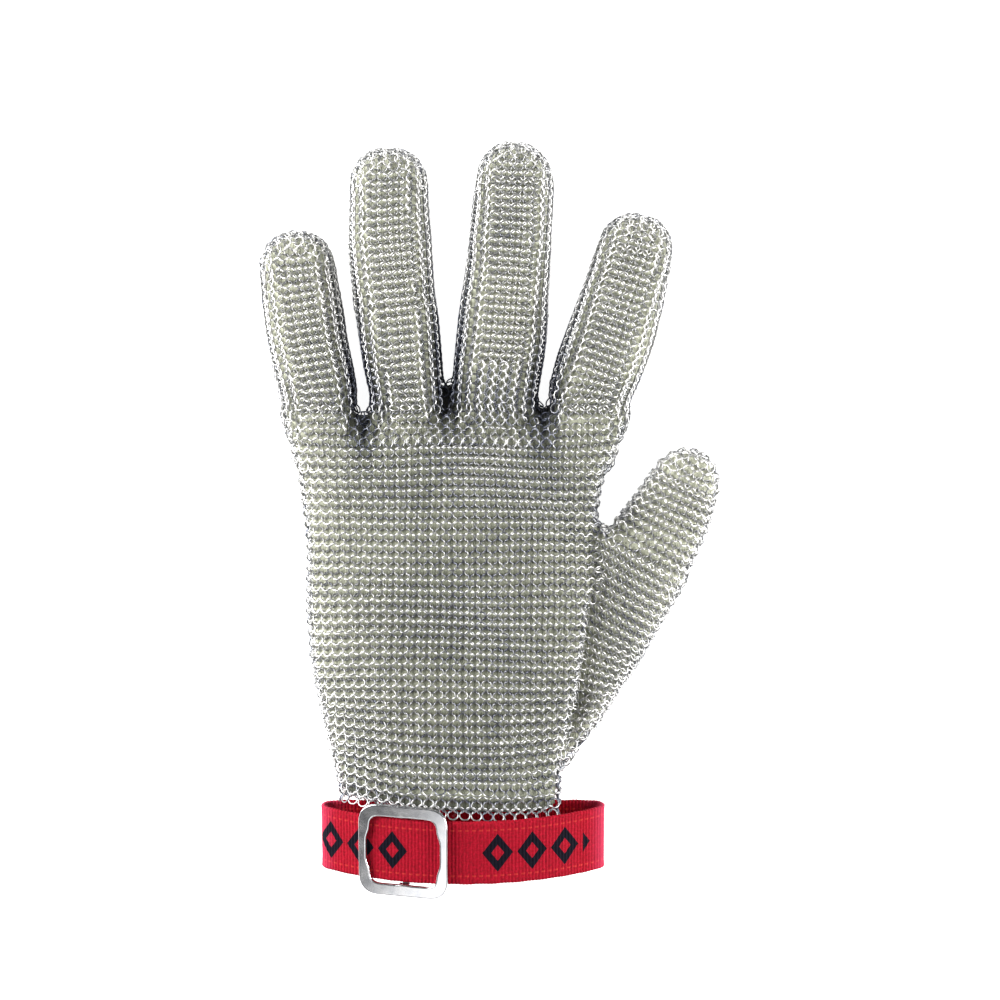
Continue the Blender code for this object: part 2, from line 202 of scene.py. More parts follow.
class Digit:
    """A finger or the thumb: its centre line, and a smooth tube measured from its CAD nodes."""

    def __init__(self, name):
        folds = {"proximal": "root_fold" if name == "thumb" else "base_fold"}
        folds.update({"middle": "middle_fold", "distal": "tip_fold"})
        joints = [JOINTS[f"{name}_{folds[part]}"] for part in PARTS[name]]
        nodes = [f"{name}_{part}_mesh" for part in PARTS[name]]
        self.name = name
        self.bodies = [f"{name}_{part}" for part in PARTS[name]]
        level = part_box(nodes[-1])[1].z / 2
        places = [Vector((*joint["pos_m"][:2], level)) for joint in joints]
        last = np.array([v.co for v in NODES[nodes[-1]].data.vertices])
        furthest = np.linalg.norm(last[:, :2] - np.array(places[-1])[:2], axis=1).argmax()
        pole = Vector((*last[furthest][:2], level))
        along = (pole - places[-1]).normalized()
        self.places = places + [pole - along * level * 1.45]
        self.headings = [UP.cross(Vector(joint["axis"])).normalized() for joint in joints] + [along]
        steps = [(b - a).length for a, b in zip(self.places, self.places[1:])]
        self.marks = [sum(steps[:i]) for i in range(len(steps) + 1)]
        cad = tree_of(nodes)
        stations = []
        for start, end in zip(self.marks, self.marks[1:]):
            stop = end if end == self.marks[-1] else end - FOLD_CLEAR
            stations += [start + FOLD_CLEAR, (start + FOLD_CLEAR + stop) / 2, stop]
        rings = [self.cut(cad, s, GROW * min(1.0, 0.1 + s / GROW_FROM)) for s in stations]
        if name != "thumb":
            back = (HAND_AIM - self.places[0]).normalized() * ROOT_OVERLAP
        else:
            back = -self.headings[0] * FOLD_CLEAR
        for ring, s in zip(rings, stations):
            ring[:, 0] += SPREAD.get(name, 0.0) * max(0.0, 1 - s / GROW_FROM)
        first = rings[0] - np.array(self.headings[0] * FOLD_CLEAR)
        rings = [first + np.array(back), first] + rings
        for lean in np.radians((22, 42, 58, 72, 84)):
            rings.append(outline(cad, self.places[-1], along.cross(UP), along, lean, GROW))
        self.tube = lofted(rings)
        self.tree = BVHTree.FromPolygons(*self.tube)

    def at(self, s):
        """The point of the centre line at distance s from the root fold, and the heading there."""
        i = max([k for k, mark in enumerate(self.marks[:-1]) if mark <= s], default=0)
        if s < 0:
            return self.places[0] + self.headings[0] * s, self.headings[0]
        share = (s - self.marks[i]) / (self.marks[i + 1] - self.marks[i])
        along = (self.places[i + 1] - self.places[i]).normalized()
        if share < 0.5:
            heading = self.headings[i].lerp(along, share * 2)
        else:
            heading = along.lerp(self.headings[i + 1], min(1.0, share * 2 - 1))
        return self.places[i].lerp(self.places[i + 1], share), heading.normalized()

    def cut(self, tree, s, grow=0.0):
        centre, heading = self.at(s)
        return outline(tree, centre, heading.cross(UP), grow=grow)

    def group_of(self, s):
        """Which piece a place belongs to: the pieces meet in the middle of each segment."""
        middles = [(a + b) / 2 for a, b in zip(self.marks, self.marks[1:])][:-1]
        return int(np.searchsorted(middles, s))

    def rows(self):
        """Every row of rings as (distance from the root fold, heading, outline)."""
        made = []
        step = ROW_STEP if self.name == "thumb" else FINGER_STEP
        count = round(self.marks[-1] / step)
        for i in range(count):
            s = (i + 0.5) * self.marks[-1] / count
            made.append((s, self.at(s)[1], self.cut(self.tree, s)))
        along, end = self.headings[-1], self.places[-1]
        lean = 0.0
        while lean < math.radians(83):
            ring = outline(self.tree, end, along.cross(UP), along, lean)
            made.append((self.marks[-1] + 1 * MM, along, ring))
            lean += step / (Vector(ring[0]) - end).length
        return made


def hem_shift(x, y):
    """How far the cuff's curve moves a row at x, y."""
    u = np.clip((x - HAND_MIDDLE_X) / HAND_HALF, -1.1, 1.1)
    fade = np.clip((y - HEM_Y) / HEM_FADE, 0, 1)
    return (HEM_CURVE[0] * u * u + HEM_CURVE[1] * u) * (1 - fade * fade * (3 - 2 * fade))


HAND_LOW, HAND_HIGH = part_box("hand_front_mesh")
HAND_MIDDLE_X = (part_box("wrist_strap")[0].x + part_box("wrist_strap")[1].x) / 2
HAND_HALF = (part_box("wrist_strap")[1].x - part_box("wrist_strap")[0].x) / 2
HEM_Y = HAND_LOW.y + 0.4 * MM
BACK_HEM_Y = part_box("hand_back_mesh")[0].y
BASE_Y = JOINTS["middle_base_fold"]["pos_m"][1]
HAND_AIM = Vector((HAND_MIDDLE_X - AIM_PAST_HEM, HEM_Y + AIM_PAST_HEM, 8 * MM))
hand_tree = tree_of(["hand_front_mesh", "hand_back_mesh"])
digits = {name: Digit(name) for name in PARTS}


def hand_outline(tree, y, grow=0.0):
    return outline(tree, Vector((HAND_MIDDLE_X, y, 10 * MM)), ACROSS, grow=grow)


def hand_tube(valley):
    """The hand's tube. With a valley it gets lower towards the finger roots, so that the fingers stand out."""
    rings = []
    stations = np.linspace(HEM_Y + 6 * MM, BASE_Y - VALLEY, 16)
    for y in stations:
        rings.append(hand_outline(hand_tree, y, GROW))
    first = rings[0].copy()
    first[:, 1] -= 10 * MM
    rings.insert(0, first)
    last = hand_outline(hand_tree, BASE_Y - FOLD_CLEAR, GROW)
    level = last[:, 2].max() / 2
    for y, low in ((BASE_Y - 0.4 * VALLEY, 0.75), (BASE_Y, VALLEY_HEIGHT)):
        height = low if valley else 1.0
        ring = last.copy()
        ring[:, 1] = y
        ring[:, 2] = level + (ring[:, 2] - level) * height
        rings.append(ring)
    return lofted(rings)


# The wing's sections fan out from the crease: the crease is its joint's axis line
WING_JOINT = JOINTS["thumb_wing_fold"]
WING_ROOT = Vector(WING_JOINT["pos_m"])
WING_LINE = -Vector(WING_JOINT["axis"]) if WING_JOINT["axis"][1] > 0 else Vector(WING_JOINT["axis"])
WING_LENGTH = WING_ROOT.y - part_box("thumb_wing_mesh")[0].y
WING_FAN = 27 * MM
wing_tree = tree_of(["thumb_wing_mesh"])


def wing_frame(t):
    """(centre, outward direction) of the wing's section at distance t down the crease."""
    first = Vector(JOINTS["thumb_root_fold"]["axis"])
    first = first if first.x > 0 else -first
    fan = min(1.0, max(0.0, (t - WING_FAN) / (WING_LENGTH - WING_FAN)))
    out = first.lerp(ACROSS, fan).normalized()
    centre = WING_ROOT + WING_LINE * t
    centre.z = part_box("thumb_wing_mesh")[1].z / 2
    return centre + out * 3 * MM, out


def wing_outline(tree, t, grow=0.0):
    centre, out = wing_frame(t)
    return outline(tree, centre, out, grow=grow)


def wing_tube():
    rings = [wing_outline(wing_tree, t, GROW) for t in np.linspace(0.93 * WING_LENGTH, 6 * MM, 9)]
    centre, out = wing_frame(1.2 * WING_LENGTH)
    rings.insert(0, np.array(centre - out * 8 * MM) + (rings[0] - rings[0].mean(0)) * 0.5)
    ahead = UP.cross(wing_frame(0)[1]) * 8 * MM
    rings.append(rings[-1] + np.array(ahead))
    return lofted(rings)


def web_between(first, second, reach):
    """A small rounded web at the crotch between two fingers."""
    a, b = digits[first], digits[second]
    left = max(p[0] for p in a.cut(a.tree, 2 * MM))
    right = min(p[0] for p in b.cut(b.tree, 2 * MM))
    bm = bmesh.new()
    bmesh.ops.create_icosphere(bm, subdivisions=3, radius=1.0)
    size = Matrix.Diagonal((2.6 * MM, reach + 6 * MM, 5.5 * MM, 1))
    bm.transform(Matrix.Translation(((left + right) / 2, BASE_Y - 6 * MM, a.places[0].z)) @ size)
    made = [v.co[:] for v in bm.verts], [[v.index for v in f.verts] for f in bm.faces]
    bm.free()
    return made


def mesh_object(name, points, faces):
    mesh = bpy.data.meshes.new(name)
    mesh.from_pydata(points, [], faces)
    mesh.update()
    obj = bpy.data.objects.new(name, mesh)
    bpy.context.scene.collection.objects.link(obj)
    return obj


def applied(obj):
    """Bakes the modifiers of a helper object into a new mesh, and removes the helper."""
    graph = bpy.context.evaluated_depsgraph_get()
    mesh = bpy.data.meshes.new_from_object(obj.evaluated_get(graph), depsgraph=graph)
    bpy.data.objects.remove(obj)
    return mesh


def smooth_body(tubes):
    """One rounded body through all the tubes, with a little unevenness, as (points, normals, faces)."""
    points, faces = [], []
    for tube_points, tube_faces in tubes:
        start = len(points)
        points += list(tube_points)
        faces += [[start + i for i in face] for face in tube_faces]
    helper = mesh_object("body_helper", points, faces)
    bm = bmesh.new()
    bm.from_mesh(helper.data)
    bmesh.ops.recalc_face_normals(bm, faces=bm.faces)
    bm.to_mesh(helper.data)
    bm.free()
    remesh = helper.modifiers.new("voxels", "REMESH")
    remesh.mode = "VOXEL"
    remesh.voxel_size = VOXEL
    smooth = helper.modifiers.new("smooth", "SMOOTH")
    smooth.factor = 0.5
    smooth.iterations = SMOOTH_PASSES
    mesh = applied(helper)
    count = len(mesh.vertices)
    points = np.empty(count * 3)
    mesh.vertices.foreach_get("co", points)
    points = points.reshape(-1, 3)
    normals = np.array([v.normal for v in mesh.vertices])
    lumps = np.array([noise.noise(Vector(p) / LUMP_SIZE) for p in points])
    points = points + normals * (lumps * LUMP_HEIGHT)[:, None] * (points[:, 2:] > 4 * MM)
    points = pressed(points, normals)
    faces = [list(p.vertices) for p in mesh.polygons]
    return points, normals, faces


strap_tree = tree_of(["wrist_strap"])
strap_top = max((v.co for v in NODES["wrist_strap"].data.vertices), key=lambda p: p.z + 0.3 * p.y)
STRAP_EDGE_Y = strap_top.y - 1 * MM
STRAP_SLOPE = JOINTS["buckle_travel"]["axis"][2] / JOINTS["buckle_travel"]["axis"][1]


def strap_levels():
    """The height of the strap's upper edge for places across the wrist."""
    xs, levels = [], []
    for x in np.arange(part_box("wrist_strap")[0].x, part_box("wrist_strap")[1].x, 1 * MM):
        hit = strap_tree.ray_cast(Vector((x, STRAP_EDGE_Y, 0.1)), -UP)[0]
        if hit is not None:
            xs.append(x)
            levels.append(hit.z)
    return np.array(xs), np.array(levels)


def pressed(points, normals):
    """Near its front hem the body lies lower, under the strap's edge and the rail of the buckle that slides there."""
    top = np.interp(points[:, 0], *strap_levels()) + STRAP_SLOPE * (points[:, 1] - STRAP_EDGE_Y)
    near = np.clip((HEM_Y + PRESS_FROM - points[:, 1]) / (PRESS_FROM - PRESS_TO), 0, 1)
    near = near * near * (3 - 2 * near) * np.clip(normals[:, 2] * 2, 0, 1)
    points = points.copy()
    points[:, 2] += near * (top - PRESS_UNDER - points[:, 2])
    return points


webs = [web_between(*pair, reach) for pair, reach in WEB_REACH.items()]
hand = hand_tube(valley=True)
hand_rows_tube = hand_tube(valley=False)
wing = wing_tube()
body_points, body_normals, body_faces = smooth_body(
    [hand, wing, *webs, *[digit.tube for digit in digits.values()]]
)
body_tree = BVHTree.FromPolygons(body_points.tolist(), body_faces)
hand_row_tree = BVHTree.FromPolygons(*hand_rows_tube)
wing_row_tree = BVHTree.FromPolygons(*wing)


# ------------------------------------------------------------------ materials


def new_material(name):
    material = bpy.data.materials.new(name)
    material.use_nodes = True
    nodes = material.node_tree.nodes
    return material, nodes, material.node_tree.links, nodes["Principled BSDF"]


def noise_node(nodes, links, scale, detail=3.0):
    place = nodes.new("ShaderNodeTexCoord")
    made = nodes.new("ShaderNodeTexNoise")
    made.inputs["Scale"].default_value = scale
    made.inputs["Detail"].default_value = detail
    links.new(place.outputs["Object"], made.inputs["Vector"])
    return made.outputs["Fac"]


def ramp(nodes, links, source, stops):
    made = nodes.new("ShaderNodeValToRGB")
    elements = made.color_ramp.elements
    while len(elements) < len(stops):
        elements.new(0.5)
    for element, (place, colour) in zip(elements, stops):
        element.position = place
        element.color = (*colour, 1.0)
    links.new(source, made.inputs["Fac"])
    return made.outputs["Color"]


def attribute(nodes, name):
    made = nodes.new("ShaderNodeAttribute")
    made.attribute_name = name
    return made


def steel_rings():
    """Bright drawn wire: each ring has its own random tone, plus painted shade in the crotches, on the steep sides and
    on the side of each wire that faces the liner, and painted light at the sides of the palm, on the fingers and on
    the thumb.
    """
    material, nodes, links, shader = new_material("steel_rings")
    tone = attribute(nodes, "tone").outputs["Fac"]
    colour = ramp(nodes, links, tone, [
        (0.0, (0.020, 0.026, 0.050)), (0.35, (0.20, 0.21, 0.25)), (0.6, (0.50, 0.50, 0.50)), (1.0, (0.80, 0.79, 0.76)),
    ])
    links.new(colour, shader.inputs["Base Color"])
    rough = nodes.new("ShaderNodeMapRange")
    rough.inputs["To Min"].default_value = 0.28
    rough.inputs["To Max"].default_value = 0.46
    links.new(noise_node(nodes, links, 900.0), rough.inputs["Value"])
    links.new(rough.outputs["Result"], shader.inputs["Roughness"])
    shader.inputs["Metallic"].default_value = 1.0
    return material


def knitted_liner():
    """Fine pale knit seen through the rings. Its tone carries painted light at the sides and painted shade in the
    crotches and by the hem.
    """
    material, nodes, links, shader = new_material("knitted_liner")
    tone = attribute(nodes, "tone").outputs["Fac"]
    colour = ramp(nodes, links, tone, [
        (0.0, (0.010, 0.012, 0.022)), (0.4, (0.17, 0.18, 0.13)), (0.8, (0.40, 0.41, 0.31)), (1.0, (0.57, 0.58, 0.45)),
    ])
    links.new(colour, shader.inputs["Base Color"])
    place = nodes.new("ShaderNodeTexCoord")
    wave = nodes.new("ShaderNodeTexWave")
    wave.inputs["Scale"].default_value = 420.0
    wave.inputs["Distortion"].default_value = 1.5
    links.new(place.outputs["Object"], wave.inputs["Vector"])
    bump = nodes.new("ShaderNodeBump")
    bump.inputs["Strength"].default_value = 0.5
    bump.inputs["Distance"].default_value = 0.0002
    links.new(wave.outputs["Fac"], bump.inputs["Height"])
    links.new(bump.outputs["Normal"], shader.inputs["Normal"])
    shader.inputs["Roughness"].default_value = 0.85
    shader.inputs["Sheen Weight"].default_value = 0.2
    return material


STEEL = steel_rings()
LINER = knitted_liner()


# ------------------------------------------------------------------ ring mesh


def spaced_row(ring, phase):
    """Even places along a closed outline, counted from its first point, and the row's direction at each."""
    closed = np.vstack([ring, ring[:1]])
    lengths = np.concatenate([[0], np.cumsum(np.linalg.norm(np.diff(closed, axis=0), axis=1))])
    total = lengths[-1]
    count = max(4, round(total / RING_PITCH))
    at = (np.arange(count) + phase) * total / count
    places, ahead, behind = (
        np.stack([np.interp(a % total, lengths, closed[:, k]) for k in range(3)], axis=1)
        for a in (at, at + 0.4 * RING_PITCH, at - 0.4 * RING_PITCH)
    )
    return places, ahead - behind


def patch(points):
    """How near a point is to the denser patch at the foot of the middle finger, from 0 to 1."""
    across = (points[:, 0] - digits["middle"].places[0].x) / PATCH_HALF
    along = (points[:, 1] - BASE_Y - PATCH_UP) / PATCH_HALF
    return np.exp(-(across**4) - along**4)


def settle(places, tangents, headings, leans, strips):
    """Lays rings on the smooth body: their places, two directions of each ring's plane, and which were kept."""
    rows = []
    for place, tangent, heading, lean in zip(places, tangents, headings, leans):
        spot, normal, _, _ = body_tree.find_nearest(Vector(place))
        deepest = 7 * MM if place[1] < HEM_Y + PRESS_FROM else 1.3 * MM
        if (Vector(place) - spot).dot(normal) < -deepest:
            rows.append(None)
            continue
        tangent = Vector(tangent)
        tangent = (tangent - normal * tangent.dot(normal)).normalized()
        forward = normal.cross(tangent)
        if forward.dot(heading) < 0:
            forward = -forward
        slope = min(1.0, max(0.0, (abs(normal.z) - 0.6) / 0.35))
        angle = RING_LEAN + slope * (FLAT_LEAN - RING_LEAN)
        lengthwise = strips and (abs(normal.z) < SIDE_STRIP or patch(np.array([spot]))[0] > 0.4)
        first, second = (forward, tangent) if lengthwise else (tangent, forward)
        tilted = second * math.cos(angle) + normal * math.sin(angle) * lean
        rows.append((spot - normal * RING_DEPTH, first, tilted, normal))
    return rows


def ring_faces(count):
    """Faces of that many closed wire rings, each of RING_SEGMENTS by WIRE_SIDES."""
    i, j = np.meshgrid(np.arange(RING_SEGMENTS), np.arange(WIRE_SIDES), indexing="ij")
    i2, j2 = (i + 1) % RING_SEGMENTS, (j + 1) % WIRE_SIDES
    one = np.stack([a * WIRE_SIDES + b for a, b in ((i, j), (i2, j), (i2, j2), (i, j2))], axis=-1).reshape(-1, 4)
    per_ring = RING_SEGMENTS * WIRE_SIDES
    return (one[None] + (np.arange(count) * per_ring)[:, None, None]).reshape(-1, 4)


def quad_mesh(name, points, faces):
    """A mesh of quads from arrays."""
    mesh = bpy.data.meshes.new(name)
    mesh.vertices.add(len(points))
    mesh.vertices.foreach_set("co", np.asarray(points, np.float32).ravel())
    mesh.loops.add(faces.size)
    mesh.loops.foreach_set("vertex_index", np.asarray(faces, np.int32).ravel())
    mesh.polygons.add(len(faces))
    mesh.polygons.foreach_set("loop_start", np.arange(len(faces), dtype=np.int32) * 4)
    mesh.update(calc_edges=True)
    mesh.shade_smooth()
    return mesh


def painted_crotch_shade(points, normals):
    """How much painted shade each point gets in a crotch, from 0 to 1. Upwards only the sides that face the gap get
    it.
    """
    dark = np.zeros(len(points))
    steep = np.clip(1.25 - np.abs(normals[:, 2]), 0, 1)
    for x, y, size in CROTCHES:
        up = points[:, 1] - y
        wide = size + 0.32 * np.maximum(up, 0)
        away = ((points[:, 0] - x) / wide) ** 2
        tail = np.where(up > 0, steep * np.exp(-((up / (6 * size)) ** 2)), np.exp(-((up / (3.6 * size)) ** 2)))
        near = np.exp(-((up / (1.3 * size)) ** 2))
        dark = np.maximum(dark, np.exp(-away) * np.maximum(tail, near))
    return dark


def painted_light(points):
    """Painted light: how much paler the mesh is made, from 0 in the middle of the palm to 1 at its sides, more on the
    left than the right, on the fingers and on the thumb. The patch at the foot of the middle finger is made darker.
    """
    aside = (points[:, 0] - HAND_MIDDLE_X) / HAND_HALF
    palm = np.where(aside < 0, 1.0, PALE_RIGHT) * np.clip(np.abs(aside), 0, 1) ** 2
    palm = palm * np.clip((points[:, 1] - HEM_Y) / (24 * MM), 0.2, 1)
    fingers = PALE_FINGERS * np.clip((points[:, 1] - BASE_Y + 4 * MM) / (18 * MM), 0, 1)
    pale = np.maximum(np.maximum(palm, fingers), np.clip((aside - 1) * 4, 0, 1))
    return pale - PATCH_DARK * patch(points)


def add_rings(name, rings, material=STEEL):
    """One object of linked rings from (centre, along the row, across the row, normal) of each."""
    centre, along, across, normal = (np.array([r[k] for r in rings]) for k in range(4))
    count = len(rings)
    square = np.cross(along, across)
    around = 2 * np.pi * np.arange(RING_SEGMENTS) / RING_SEGMENTS
    about = 2 * np.pi * np.arange(WIRE_SIDES) / WIRE_SIDES
    radial = RING_RADIUS + WIRE_RADIUS * np.cos(about)
    u = np.outer(np.cos(around), radial).ravel()
    v = np.outer(np.sin(around), radial).ravel()
    w = np.outer(np.ones(RING_SEGMENTS), WIRE_RADIUS * np.sin(about)).ravel()
    points = centre[:, None] + sum(
        k[None, :, None] * axis[:, None] for k, axis in ((u, along), (v, across), (w, square))
    )
    mesh = quad_mesh(name, points.reshape(-1, 3), ring_faces(count))
    # Each ring's tone is random with a slow drift, plus painted light at the sides and on the fingers, and painted
    # shade in the crotches.
    dark = painted_crotch_shade(centre, normal)
    drift = np.array([noise.noise(Vector(c) / (26 * MM)) for c in centre])
    tone = np.clip(rng.normal(0.67, 0.11, count) + 0.12 * drift + 0.24 * painted_light(centre), 0.35, 1.0)
    # Painted shade: rings on the steep sides are darker, by up to EDGE_DARK.
    steep = np.clip(1 - np.abs(normal[:, 2]) / 0.55, 0, 1)
    tone = tone * (1 - 0.88 * dark) * (1 - EDGE_DARK * steep)
    # Painted shade: each wire is darker where it lies deeper, towards the liner, and paler where it stands out.
    height = np.einsum("nvk,nk->nv", points - centre[:, None], normal) / (0.6 * RING_RADIUS)
    tone = tone[:, None] * (0.79 + 0.21 * np.clip(height, -1, 1))
    mesh.attributes.new("tone", "FLOAT", "POINT").data.foreach_set("value", tone.ravel().astype(np.float32))
    mesh.materials.append(material)
    obj = bpy.data.objects.new(name, mesh)
    bpy.context.scene.collection.objects.link(obj)
    return obj


def crotches():
    made = []
    for first, second in WEB_REACH:
        a, b = digits[first], digits[second]
        left = max(p[0] for p in a.cut(a.tree, 2 * MM))
        right = min(p[0] for p in b.cut(b.tree, 2 * MM))
        made.append(((left + right) / 2, BASE_Y + WEB_REACH[first, second] - 2 * MM, 4.0 * MM))
    return made


CROTCHES = crotches()


def depth_in(tree, point):
    """How deep a point is inside a closed tube. It is negative outside."""
    spot, normal, _, away = tree.find_nearest(point)
    return away if (point - spot).dot(normal) < 0 else -away


def agreed(plain, full):
    """The full outline where it is close to the plain one, and the plain one where it goes off to another limb."""
    apart = np.linalg.norm(full - plain, axis=1)
    return np.where((apart < SAME_LIMB)[:, None], full, plain)


def drape(places):
    """Moves ring places sideways a little, so that the rows wander as a hand-laid mesh does."""
    shifts = [noise.noise_vector(Vector(p) / DRAPE_SIZE) for p in places]
    return places + np.array(shifts) * DRAPE * np.array((1.0, 1.0, 0.0))


def row_rings(index, heading, ring, strips=False):
    """The settled rings of one row. With strips the rows on the steep sides run lengthwise."""
    places, tangents = spaced_row(ring, 0.5 * (index % 2))
    places = drape(places)
    lean = 1 if index % 2 else -1
    return settle(places, tangents, [heading] * len(places), [lean] * len(places), strips)


def hand_rows():
    """The hand's rings, front and back, without those that other tubes cover."""
    front, back = [], []
    count = round((BASE_Y - HEM_Y + HEM_HANG) / ROW_STEP)
    for i in range(count):
        y = HEM_Y - HEM_HANG + (i + 0.5) * ROW_STEP
        ring = hand_outline(hand_row_tree, max(y, HEM_Y - 3 * MM))
        if y > BASE_Y - 2 * VALLEY:
            ring = agreed(ring, hand_outline(body_tree, y))
        ring[:, 1] = y
        shift = hem_shift(ring[:, 0], ring[:, 1])
        ring[:, 1] += shift
        settled = row_rings(i, Vector((0, 1, 0)), ring, strips=y > BASE_Y - STRIP_END)
        for row in filter(None, settled):
            if row[3].z > 0:
                front.append(row)
            elif row[0].y > BACK_HEM_Y:
                back.append(row)
    return front, back


def front_or_back(piece_rings, rings, side, low):
    """Shares the hand's rings between its two pieces on one side: the upper one and the one by the cuff."""
    piece_rings[side] = [r for r in rings if r[0].y >= MIDDLE_Y]
    piece_rings[low] = [r for r in rings if r[0].y < MIDDLE_Y]


def wing_rows():
    rings = []
    thumb = digits["thumb"]
    for i in range(-3, round(WING_LENGTH * 1.12 / ROW_STEP)):
        t = (i + 0.5) * ROW_STEP
        out = wing_frame(t)[1]
        ring = wing_outline(wing_row_tree, max(t, -1 * MM))
        ring += np.array(wing_frame(t)[0] - wing_frame(max(t, -1 * MM))[0])
        if t < 2 * FOLD_CLEAR:
            ring = agreed(ring, wing_outline(body_tree, t))
        for row in row_rings(i, UP.cross(out), ring):
            if not row or depth_in(hand_row_tree, row[0]) > 0.2 * MM:
                continue
            if (row[0] - thumb.places[0]).dot(thumb.headings[0]) < 0:
                rings.append(row)
    return rings


def bend_at_crease(piece):
    """Bakes the placement of one of the wing's pieces into its mesh."""
    middle, out = wing_frame(0.5 * WING_LENGTH)
    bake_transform(piece)


def bend_at_fold(piece, digit, k):
    """A digit's k-th piece reaches from the middle of one segment to the middle of the next. Its placement is baked
    into its mesh.
    """
    lengths = np.diff(digit.marks)
    if k == 0:
        before, after = 0.0, min(ROOT_BEND, 0.48 * lengths[0])
    else:
        before, after = min(BEND, 0.48 * lengths[k - 1]), min(BEND, 0.48 * lengths[k])
    start, end = digit.at(digit.marks[k] - before)[0], digit.at(digit.marks[k] + after)[0]
    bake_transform(piece)


# ------------------------------------------------------------------ liner


def along_digit(digit, points):
    """How far along a digit's centre line each point is, and how far aside from it."""
    along, aside = np.zeros(len(points)), np.full(len(points), 9.0)
    last = len(digit.places) - 2
    for i, (a, b) in enumerate(zip(digit.places, digit.places[1:])):
        a, step = np.array(a)[:2], np.array(b - a)[:2]
        t = (points[:, :2] - a) @ step / (step @ step)
        t = np.clip(t, -9.0 if i == 0 else 0.0, 9.0 if i == last else 1.0)
        away = np.linalg.norm(points[:, :2] - a - t[:, None] * step, axis=1)
        near = away < aside
        along[near] = digit.marks[i] + t[near] * np.linalg.norm(step)
        aside[near] = away[near]
    return along, aside


def liner_labels(centres, normals):
    """The name of the liner node that each face of the smooth body belongs to."""
    labels = np.where(normals[:, 2] > 0, "hand_front", "hand_back").astype("<U24")
    crease, out = np.array(WING_ROOT), np.array(wing_frame(0.5 * WING_LENGTH)[1])
    beside = (centres - crease) @ out > 0
    for i in np.flatnonzero(beside & (centres[:, 1] < WING_ROOT.y + 8 * MM)):
        if depth_in(hand_row_tree, Vector(centres[i])) < 0.3 * MM:
            labels[i] = "thumb_wing"
    closest = np.full(len(centres), 16 * MM)
    for digit in digits.values():
        along, aside = along_digit(digit, centres)
        taken = (along >= 0) & (aside < closest)
        if digit.name == "thumb":
            taken &= beside | (centres[:, 0] > WING_ROOT.x + 6 * MM)
        closest[taken] = aside[taken]
        for i in np.flatnonzero(taken):
            labels[i] = digit.bodies[digit.group_of(along[i])]
    return labels


def walled(name, faces):
    """A thin closed wall under the given faces of the smooth body: the outer side, the inner side and the rim."""
    used, local = np.unique(faces, return_inverse=True)
    outer = local.reshape(-1, 4)
    count = len(used)
    points, normals = body_points[used], body_normals[used]
    edges = np.concatenate([outer[:, [k, (k + 1) % 4]] for k in range(4)])
    keys = np.sort(edges, axis=1)
    _, first, times = np.unique(keys, axis=0, return_index=True, return_counts=True)
    rim = edges[first[times == 1]]
    rim_faces = np.stack([rim[:, 1], rim[:, 0], rim[:, 0] + count, rim[:, 1] + count], axis=1)
    walls = [points - normals * LINER_DEPTH, points - normals * (LINER_DEPTH + LINER_WALL)]
    mesh = quad_mesh(name, np.vstack(walls), np.vstack([outer, outer[:, ::-1] + count, rim_faces]))
    # Painted shade: the liner darkens just above the hem, in the cuff's shade; its tone also takes painted light at
    # the sides and painted shade in the crotches.
    above_hem = (points[:, 1] - HEM_Y - hem_shift(points[:, 0], points[:, 1]) - LINER_HEM) / HEM_SHADE
    shade = 1 - 0.75 * np.clip(1 - above_hem, 0, 1)
    tone = (0.7 + 0.26 * painted_light(points)) * (1 - 0.95 * painted_crotch_shade(points, normals)) * shade
    value = np.tile(tone, 2).astype(np.float32)
    mesh.attributes.new("tone", "FLOAT", "POINT").data.foreach_set("value", value)
    mesh.materials.append(LINER)
    obj = bpy.data.objects.new(name, mesh)
    bpy.context.scene.collection.objects.link(obj)
    return obj


def fill_bare(piece_rings, faces, centres, normals, labels):
    """Lays single rings where the rows left the liner bare, and adds them to the piece that moves with it."""
    known = [r[0] for rings in piece_rings.values() for r in rings]
    tree = KDTree(len(known))
    for i, place in enumerate(known):
        tree.insert(place, i)
    tree.balance()
    above = centres[:, 1] > HEM_Y + FILL_ABOVE
    bare = [i for i in np.flatnonzero(above) if tree.find(centres[i])[2] > BARE]
    bare.sort(key=lambda i: (round(centres[i][1] / ROW_STEP), centres[i][0]))
    laid = np.zeros((0, 3))
    for i in bare:
        if len(laid) and np.linalg.norm(laid - centres[i], axis=1).min() < BARE:
            continue
        laid = np.vstack([laid, centres[i]])
        normal = Vector(normals[i]).normalized()
        along = (ACROSS - normal * ACROSS.dot(normal)).normalized()
        angle = FLAT_LEAN if len(laid) % 2 else -FLAT_LEAN
        across = normal.cross(along) * math.cos(angle) + normal * math.sin(angle)
        name = PIECE_OF.get(labels[i], f"{labels[i]}_rings")
        if isinstance(name, tuple):
            name = name[0] if centres[i][1] >= MIDDLE_Y else name[1]
        piece_rings[name].append((Vector(centres[i]) - normal * RING_DEPTH, along, across, normal))
    print("filled", len(laid))


PIECE_OF = {"hand_front": ("palm_rings", "cuff_rings"), "hand_back": ("back_rings", "back_cuff_rings")}
MIDDLE_Y = -20 * MM
front, back = hand_rows()
piece_rings = {}
front_or_back(piece_rings, front, "palm_rings", "cuff_rings")
front_or_back(piece_rings, back, "back_rings", "back_cuff_rings")
piece_rings["thumb_wing_rings"] = wing_rows()
for digit in digits.values():
    for body in digit.bodies:
        piece_rings[f"{body}_rings"] = []
    for i, (s, heading, ring) in enumerate(digit.rows()):
        body = digit.bodies[digit.group_of(s)]
        piece_rings[f"{body}_rings"] += [
            r for r in row_rings(i, heading, ring, strips=digit.name != "thumb") if r
        ]

